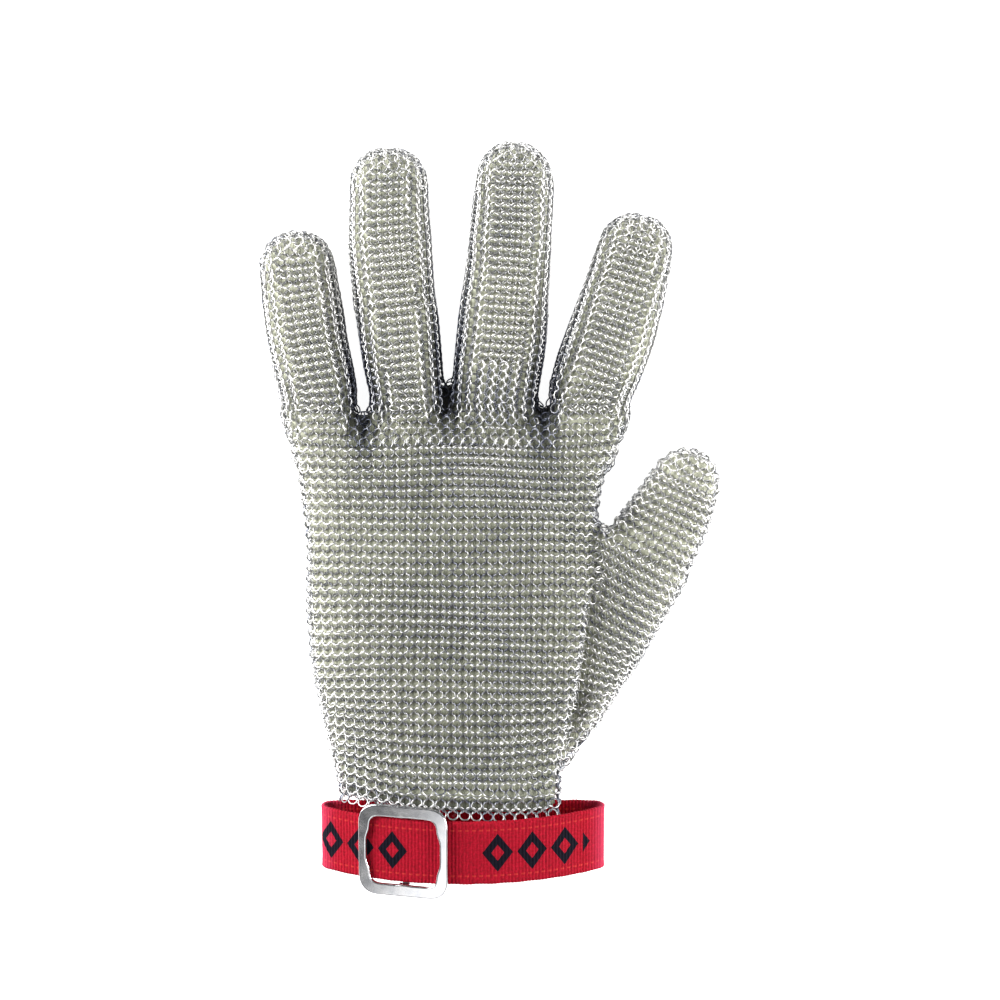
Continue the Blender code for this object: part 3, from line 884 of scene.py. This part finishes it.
faces = np.array(body_faces)
centres = body_points[faces].mean(axis=1)
normals = body_normals[faces].mean(axis=1)
labels = liner_labels(centres, normals)
hem = np.where(normals[:, 2] > 0, HEM_Y, BACK_HEM_Y) + LINER_HEM
hem += THUMB_HEM * np.clip(((centres[:, 0] - HAND_MIDDLE_X) / HAND_HALF - 0.6) / 0.25, 0, 1)
kept = centres[:, 1] > hem + hem_shift(centres[:, 0], centres[:, 1])
faces, centres, normals, labels = faces[kept], centres[kept], normals[kept], labels[kept]
fill_bare(piece_rings, faces, centres, normals, labels)

for side, names in PIECE_OF.items():
    for name in names:
        piece = add_rings(name, piece_rings[name])
        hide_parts(f"{side}_mesh")
        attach(piece, "hand")
    piece = walled(f"{side}_knit", faces[labels == side])
    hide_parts(f"{side}_liner")
    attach(piece, "hand")
for piece, node in (
    (add_rings("thumb_wing_rings", piece_rings["thumb_wing_rings"]), "thumb_wing_mesh"),
    (walled("thumb_wing_knit", faces[labels == "thumb_wing"]), "thumb_wing_liner"),
):
    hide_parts(node)
    bend_at_crease(piece)
for digit in digits.values():
    for k, body in enumerate(digit.bodies):
        for piece, node in (
            (add_rings(f"{body}_rings", piece_rings[f"{body}_rings"]), f"{body}_mesh"),
            (walled(f"{body}_knit", faces[labels == body]), f"{body}_liner"),
        ):
            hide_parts(node)
            bend_at_fold(piece, digit, k)
print("rings", {name: len(rings) for name, rings in piece_rings.items()})


# ------------------------------------------------------------------ strap, lap, tacks and buckle

STRAP_NORMAL = Vector(JOINTS["buckle_travel"]["axis"]).normalized()
STRAP_LOW, STRAP_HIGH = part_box("wrist_strap")
STRAP_CENTRE = (STRAP_LOW + STRAP_HIGH) / 2
STRAP_RISE = ACROSS.cross(STRAP_NORMAL).normalized()
BUCKLE_FACING = sum(
    (p.normal * p.area for p in NODES["slide_buckle"].data.polygons if p.normal.z > 0.8), Vector()
).normalized()


def web_path(name):
    """Evenly spaced points along the middle of a band's thickness, found by rays out of the loop's centre."""
    tree = tree_of([name])
    points = []
    for k in range(1440):
        angle = 2 * math.pi * k / 1440
        ray = ACROSS * math.cos(angle) + STRAP_RISE * math.sin(angle)
        near = tree.ray_cast(STRAP_CENTRE, ray)[0]
        far = tree.ray_cast(STRAP_CENTRE + ray * 0.15, -ray)[0]
        if near is not None and far is not None:
            points.append((near + far) / 2)
    return points


def even_path(points, step, closed):
    """The path resampled at even steps and rounded a little: positions, and distances along."""
    line = np.array(points)
    if closed:
        line = np.vstack([line, line[:1]])
    far = np.concatenate([[0], np.cumsum(np.linalg.norm(np.diff(line, axis=0), axis=1))])
    count = round(far[-1] / step)
    at = np.linspace(0, far[-1], count, endpoint=not closed)
    made = np.stack([np.interp(at, far, line[:, k]) for k in range(3)], axis=1)
    for _ in range(8):
        if closed:
            made = (np.roll(made, 1, axis=0) + 2 * made + np.roll(made, -1, axis=0)) / 4
        else:
            made[1:-1] = (made[:-2] + 2 * made[1:-1] + made[2:]) / 4
    return made, at


def add_webbing(name, points, closed):
    """Webbing with real cross ribs and thicker selvedges, along a path through the middle of its thickness."""
    line, far = even_path(points, RIB_PITCH / 7, closed)
    if closed:
        ahead = np.roll(line, -1, axis=0) - np.roll(line, 1, axis=0)
    else:
        ahead = np.gradient(line, axis=0)
    ahead /= np.linalg.norm(ahead, axis=1)[:, None]
    normal = np.array(STRAP_NORMAL)
    outward = np.cross(ahead, normal)
    if np.sum(outward * (line - np.array(STRAP_CENTRE))) < 0:
        outward = -outward
    half = WEB_WIDTH / 2
    across = np.linspace(-half + 0.35 * MM, half - 0.35 * MM, 22)
    selvedge = 0.16 * MM * np.exp(-(((half - np.abs(across)) / (1.1 * MM)) ** 2))
    around = np.concatenate([across, [half], across[::-1], [-half]])
    side = np.concatenate([np.ones(22), [0], -np.ones(22), [0]])
    raised = np.concatenate([selvedge, [0], selvedge[::-1], [0]])
    rib = 0.5 - 0.5 * np.cos(2 * np.pi * far / RIB_PITCH)
    yarns = rng.normal(1.0, 0.16, (len(line) // 7 + 2, 46))[(np.arange(len(line)) // 7)]
    height = WEB_THICK / 2 - RIB_HEIGHT + RIB_HEIGHT * rib[:, None] * yarns + raised[None]
    wave = 0.18 * MM * np.sin(2 * np.pi * far / (7.3 * RIB_PITCH))[:, None] * (np.abs(around) > half * 0.99)
    ribbed_edge = (0.12 * MM * rib)[:, None] * np.sign(around) * (np.abs(around) > half - 0.5 * MM)
    sideways = around[None] + wave * 0.4 + ribbed_edge
    points = (
        line[:, None]
        + outward[:, None] * (height * side[None])[:, :, None]
        + normal[None, None] * sideways[:, :, None]
    )
    count, sides = len(line), 46
    i, j = np.meshgrid(np.arange(count if closed else count - 1), np.arange(sides), indexing="ij")
    i2, j2 = (i + 1) % count, (j + 1) % sides
    faces = np.stack([i * sides + j, i2 * sides + j, i2 * sides + j2, i * sides + j2], axis=-1).reshape(-1, 4)
    mesh = quad_mesh(name, points.reshape(-1, 3), faces)
    bm = bmesh.new()
    bm.from_mesh(mesh)
    if not closed:
        bmesh.ops.holes_fill(bm, edges=[e for e in bm.edges if e.is_boundary], sides=0)
    bmesh.ops.recalc_face_normals(bm, faces=bm.faces)
    bm.to_mesh(mesh)
    bm.free()
    mesh.shade_smooth()
    # How sharply the strap bends; this drives the painted highlight at its folds.
    bend = np.linalg.norm(np.roll(ahead, -9, axis=0) - np.roll(ahead, 9, axis=0), axis=1) if closed else 0 * far
    bend = np.convolve(np.clip(bend * 1.6, 0, 1), np.ones(41) / 41, mode="same")
    for key, value in (
        ("along_mm", np.repeat(far / MM, sides)),
        ("across_mm", np.tile(around / MM, count)),
        ("outer", np.tile((side + 1) / 2, count)),
        ("fold", np.repeat(bend, sides)),
    ):
        mesh.attributes.new(key, "FLOAT", "POINT").data.foreach_set("value", value.astype(np.float32))
    mesh.materials.append(WEBBING)
    obj = bpy.data.objects.new(name, mesh)
    bpy.context.scene.collection.objects.link(obj)
    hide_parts(name.replace("_web", ""))
    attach(obj, "hand")
    return obj, far


def calc(nodes, links, operation, *values):
    """One Math node, fed with numbers or with other nodes' outputs."""
    made = nodes.new("ShaderNodeMath")
    made.operation = operation
    for socket, value in zip(made.inputs, values):
        if isinstance(value, (int, float)):
            socket.default_value = value
        else:
            links.new(value, socket)
    return made.outputs[0]


def mixed(nodes, links, factor, first, second):
    """A colour mix. Each colour is a tuple or a node's output."""
    made = nodes.new("ShaderNodeMix")
    made.data_type = "RGBA"
    links.new(factor, made.inputs[0])
    for socket, colour in ((made.inputs[6], first), (made.inputs[7], second)):
        if isinstance(colour, tuple):
            socket.default_value = (*colour, 1.0)
        else:
            links.new(colour, socket)
    return made.outputs[2]


def red_webbing():
    """Red ribbed webbing with flecks, a dashed line near each selvedge, black woven diamonds, and a painted pinkish
    highlight where it bends round a fold.
    """
    material, nodes, links, shader = new_material("red_webbing")
    along = attribute(nodes, "along_mm").outputs["Fac"]
    across = attribute(nodes, "across_mm").outputs["Fac"]
    outer = attribute(nodes, "outer").outputs["Fac"]
    fold = attribute(nodes, "fold").outputs["Fac"]

    def do(operation, *values):
        return calc(nodes, links, operation, *values)

    side = do("ABSOLUTE", across)
    fleck = noise_node(nodes, links, 1500.0, 4.0)
    red = ramp(nodes, links, fleck, [(0.25, (0.16, 0.001, 0.006)), (0.5, (0.31, 0.001, 0.010)), (0.8, (0.48, 0.006, 0.026))])
    edge = do("SUBTRACT", WEB_WIDTH / MM / 2 - 2.8, side)
    dashed = do("MULTIPLY", do("LESS_THAN", do("ABSOLUTE", edge), 0.28), do("LESS_THAN", do("FRACT", do("DIVIDE", along, 2.2)), 0.55))
    colour = mixed(nodes, links, do("MULTIPLY", dashed, 0.45), red, (0.60, 0.05, 0.03))
    # Painted highlight: the webbing turns pinkish where it bends round a fold.
    colour = mixed(nodes, links, do("MULTIPLY", fold, 0.45), colour, (0.62, 0.07, 0.16))
    place = do("FRACT", do("DIVIDE", do("ADD", along, MOTIF_SHIFT), MOTIF_PERIOD))
    inside = do("LESS_THAN", place, MOTIF_COUNT * MOTIF_STEP / MOTIF_PERIOD)
    local = do("FRACT", do("DIVIDE", do("MULTIPLY", place, MOTIF_PERIOD), MOTIF_STEP))
    local = do("ABSOLUTE", do("SUBTRACT", local, 0.5))
    reach = do("ADD", do("DIVIDE", local, 0.44), do("DIVIDE", side, MOTIF_HALF))
    ring = do("SUBTRACT", do("LESS_THAN", reach, 1.0), do("LESS_THAN", reach, 0.42))
    black = do("MULTIPLY", do("MULTIPLY", ring, inside), do("GREATER_THAN", outer, 0.5))
    colour = mixed(nodes, links, black, colour, ramp(nodes, links, fleck, [(0.3, (0.001, 0.001, 0.004)), (0.8, (0.007, 0.005, 0.014))]))
    links.new(colour, shader.inputs["Base Color"])
    rough = nodes.new("ShaderNodeMapRange")
    rough.inputs["To Min"].default_value = 0.7
    rough.inputs["To Max"].default_value = 0.9
    links.new(fleck, rough.inputs["Value"])
    links.new(rough.outputs["Result"], shader.inputs["Roughness"])
    shader.inputs["Specular IOR Level"].default_value = 0.12
    return material


def red_thread():
    material, nodes, links, shader = new_material("red_thread")
    twist = noise_node(nodes, links, 2500.0)
    links.new(ramp(nodes, links, twist, [(0.3, (0.16, 0.003, 0.010)), (0.7, (0.42, 0.012, 0.030))]), shader.inputs["Base Color"])
    shader.inputs["Roughness"].default_value = 0.6
    return material


def polished_steel():
    """Flat polished stamping, with faint brushing."""
    material, nodes, links, shader = new_material("polished_stamping")
    grain = noise_node(nodes, links, 300.0, 5.0)
    links.new(ramp(nodes, links, grain, [(0.3, (0.66, 0.67, 0.70)), (0.7, (0.82, 0.82, 0.83))]), shader.inputs["Base Color"])
    rough = nodes.new("ShaderNodeMapRange")
    rough.inputs["To Min"].default_value = 0.08
    rough.inputs["To Max"].default_value = 0.16
    links.new(grain, rough.inputs["Value"])
    links.new(rough.outputs["Result"], shader.inputs["Roughness"])
    shader.inputs["Metallic"].default_value = 1.0
    return material


def add_tack(node):
    """A zigzag bar tack through the strap and the lap: thread on both faces."""
    low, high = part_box(node)
    middle = (low + high) / 2
    length = (high.y - low.y) / abs(STRAP_NORMAL.y) - 3 * THREAD
    depth = (high.z - low.z) - length * abs(STRAP_NORMAL.z) - 2 * THREAD
    rise = STRAP_RISE if STRAP_RISE.z > 0 else -STRAP_RISE
    count = 22
    points, faces = [], []
    for face in (1, -1):
        for i in range(count):
            start, end = (i / count - 0.5) * length, ((i + 1) / count - 0.5) * length
            swing = 0.9 * MM * (1 if i % 2 else -1)
            a = middle + STRAP_NORMAL * start + ACROSS * -swing + rise * (face * depth / 2)
            b = middle + STRAP_NORMAL * end + ACROSS * swing + rise * (face * depth / 2)
            along = (b - a).normalized()
            aside = along.cross(rise)
            first = len(points)
            for k in range(9):
                share = k / 8
                bulge = math.sin(math.pi * share)
                place = a.lerp(b, share) + rise * (face * THREAD * (bulge - 0.6))
                size = THREAD * (0.45 + 0.55 * bulge)
                for j in range(8):
                    turn = 2 * math.pi * j / 8
                    points.append(place + (aside * math.cos(turn) + rise * math.sin(turn)) * size)
            for k in range(8):
                for j in range(8):
                    m, n = first + k * 8 + j, first + k * 8 + (j + 1) % 8
                    faces.append((m, n, n + 8, m + 8))
            faces.append(tuple(range(first + 7, first - 1, -1)))
            faces.append(tuple(range(first + 64, first + 72)))
    obj = mesh_object(f"{node}_thread", points, faces)
    obj.data.shade_smooth()
    obj.data.materials.append(THREAD_RED)
    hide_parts(node)
    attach(obj, "hand")


def edge_radii(tree, centre, along, across, count):
    """The inner and outer edge of the flat frame, by rays in its plane, with the corners eased."""
    inner, outer = [], []
    for k in range(count):
        angle = 2 * math.pi * k / count
        ray = along * math.cos(angle) + across * math.sin(angle)
        inner.append((tree.ray_cast(centre, ray)[0] - centre).length)
        outer.append((tree.ray_cast(centre + ray * 0.05, -ray)[0] - centre).length)
    eased = []
    for radii in (np.array(inner), np.array(outer)):
        for _ in range(10):
            radii = (np.roll(radii, 1) + 2 * radii + np.roll(radii, -1)) / 4
        eased.append(radii)
    return eased


def rolled(inner, outer, low, high, roll, steps=4):
    """A section from the inner edge round to it again, as (distance from the centre, level), with rolled corners."""
    section = []
    corners = ((inner + roll, high - roll, 180, 90), (outer - roll, high - roll, 90, 0),
               (outer - roll, low + roll, 0, -90), (inner + roll, low + roll, -90, -180))
    for k, (far, level, start, end) in enumerate(corners):
        arc = [
            (far + roll * math.cos(turn), level + roll * math.sin(turn))
            for turn in np.radians(np.linspace(start, end, steps))
        ]
        flat = (far + (1 if k in (0, 3) else -1) * FLAT_MARGIN, high if k < 2 else low)
        section += [*arc, flat] if k in (0, 2) else [flat, *arc]
    return section


def add_buckle():
    """The flat stamping with its edges rolled over, and the bar that runs behind the strap."""
    source = NODES["slide_buckle"].data
    tree = tree_of(["slide_buckle"])
    flat = [p for p in source.polygons if p.normal.dot(BUCKLE_FACING) > 0.99]
    top = max(p.center.dot(BUCKLE_FACING) for p in flat)
    flat = [p for p in flat if abs(p.center.dot(BUCKLE_FACING) - top) < 0.1 * MM]
    corners = [source.vertices[i].co for p in flat for i in p.vertices]
    across = STRAP_NORMAL
    along = across.cross(BUCKLE_FACING).normalized()
    middle = Vector()
    for axis in (along, across):
        values = [c.dot(axis) for c in corners]
        middle += axis * (min(values) + max(values)) / 2
    centre = middle + BUCKLE_FACING * (top - BUCKLE_THICK / 2)
    inner, outer = edge_radii(tree, centre, along, across, 240)
    points = []
    for k in range(240):
        angle = 2 * math.pi * k / 240
        ray = along * math.cos(angle) + across * math.sin(angle)
        for far, level in rolled(inner[k], outer[k], -BUCKLE_THICK / 2, BUCKLE_THICK / 2, 0.32 * MM):
            points.append(centre + ray * far + BUCKLE_FACING * level)
    sides = len(points) // 240
    i, j = np.meshgrid(np.arange(240), np.arange(sides), indexing="ij")
    i2, j2 = (i + 1) % 240, (j + 1) % sides
    faces = np.stack([i * sides + j, i * sides + j2, i2 * sides + j2, i2 * sides + j], axis=-1).reshape(-1, 4)
    bm = bmesh.new()
    bm.from_mesh(quad_mesh("buckle_frame", np.array(points), faces))
    add_bar(bm, source, centre, along, across)
    bmesh.ops.recalc_face_normals(bm, faces=bm.faces)
    mesh = bpy.data.meshes.new("buckle_stamping")
    bm.to_mesh(mesh)
    bm.free()
    mesh.shade_smooth()
    mesh.set_sharp_from_angle(angle=math.radians(50))
    mesh.materials.append(POLISHED)
    obj = bpy.data.objects.new("buckle_stamping", mesh)
    bpy.context.scene.collection.objects.link(obj)
    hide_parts("slide_buckle")
    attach(obj, "slide_buckle")


def add_bar(bm, source, centre, along, across):
    """The bar behind the strap, as wide and as deep as the CAD's own, with its edges rolled too."""
    corners = [v.co - centre for v in source.vertices]
    low = min(c.dot(BUCKLE_FACING) for c in corners)
    bar = [c for c in corners if c.dot(BUCKLE_FACING) < low + 0.1 * MM]
    half_width = max(abs(c.dot(along)) for c in bar)
    half_length = max(abs(c.dot(across)) for c in bar)
    thick = min(d for d in (c.dot(BUCKLE_FACING) - low for c in corners) if d > 0.3 * MM)
    inner_end = half_length - STUB
    boxes = (
        ((-half_width, half_width), (-half_length, half_length), (low, low + thick)),
        ((-half_width, half_width), (inner_end, half_length), (low, 0.0)),
        ((-half_width, half_width), (-half_length, -inner_end), (low, 0.0)),
    )
    for spans in boxes:
        made = bmesh.new()
        bmesh.ops.create_cube(made, size=1.0)
        for vert in made.verts:
            place = [a + (b - a) * (c + 0.5) for (a, b), c in zip(spans, vert.co)]
            vert.co = centre + along * place[0] + across * place[1] + BUCKLE_FACING * place[2]
        bmesh.ops.bevel(made, geom=made.edges[:], offset=0.25 * MM, segments=3, profile=0.5, affect="EDGES")
        piece = bpy.data.meshes.new("bar")
        made.to_mesh(piece)
        made.free()
        bm.from_mesh(piece)


WEBBING = red_webbing()
THREAD_RED = red_thread()
POLISHED = polished_steel()
strap_points = web_path("wrist_strap")
strap_web, strap_far = add_webbing("wrist_strap_web", strap_points, closed=True)
lap_web, lap_far = add_webbing("strap_lap_web", web_path("strap_lap"), closed=False)
print("strap length mm", strap_far[-1] / MM, "lap", lap_far[-1] / MM)
add_tack("lap_tack_left")
add_tack("lap_tack_right")
add_buckle()


# ------------------------------------------------------------------ stage


def buckle_glint():
    """Where a lamp has to be for its edge to show in the buckle's flat face, to the right of the middle."""
    low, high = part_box("slide_buckle")
    middle = (low + high) / 2
    ray = (middle - Vector(CAMERA_PLACE)).normalized().reflect(BUCKLE_FACING)
    return tuple(middle + ray * 0.9 + Vector((0.165, -0.04, 0)))


def make_stage():
    floor = mesh_object("floor", [(-2, -2, -0.0003), (2, -2, -0.0003), (2, 2, -0.0003), (-2, 2, -0.0003)], [(0, 1, 2, 3)])
    material, nodes, links, shader = new_material("pale_floor")
    shader.inputs["Base Color"].default_value = (0.92, 0.92, 0.92, 1)
    shader.inputs["Roughness"].default_value = 0.9
    shader.inputs["Emission Color"].default_value = (1, 1, 1, 1)
    shader.inputs["Emission Strength"].default_value = 0.9
    floor.data.materials.append(material)
    world = bpy.data.worlds.new("studio")
    world.use_nodes = True
    world.node_tree.nodes["Background"].inputs["Color"].default_value = (1, 1, 1, 1)
    world.node_tree.nodes["Background"].inputs["Strength"].default_value = 0.14
    bpy.context.scene.world = world
    glint = buckle_glint()
    for name, place, size, power in (
        ("left", (-0.75, 0.25, 0.38), 0.7, 19.0),
        ("right", (0.8, -0.05, 0.36), 0.6, 14.0),
        ("glint", glint, 0.30, 0.45),
    ):
        light = bpy.data.lights.new(name, "AREA")
        light.size = size
        light.energy = power
        lamp = bpy.data.objects.new(name, light)
        lamp.location = place
        lamp.rotation_euler = (-Vector(place)).to_track_quat("-Z", "Y").to_euler()
        bpy.context.scene.collection.objects.link(lamp)


def make_camera():
    data = bpy.data.cameras.new("camera")
    data.lens = 102.9
    data.sensor_width = 36
    camera = bpy.data.objects.new("camera", data)
    camera.location = CAMERA_PLACE
    bpy.context.scene.collection.objects.link(camera)
    bpy.context.scene.camera = camera


make_stage()
make_camera()
bpy.context.scene.view_settings.view_transform = "Standard"
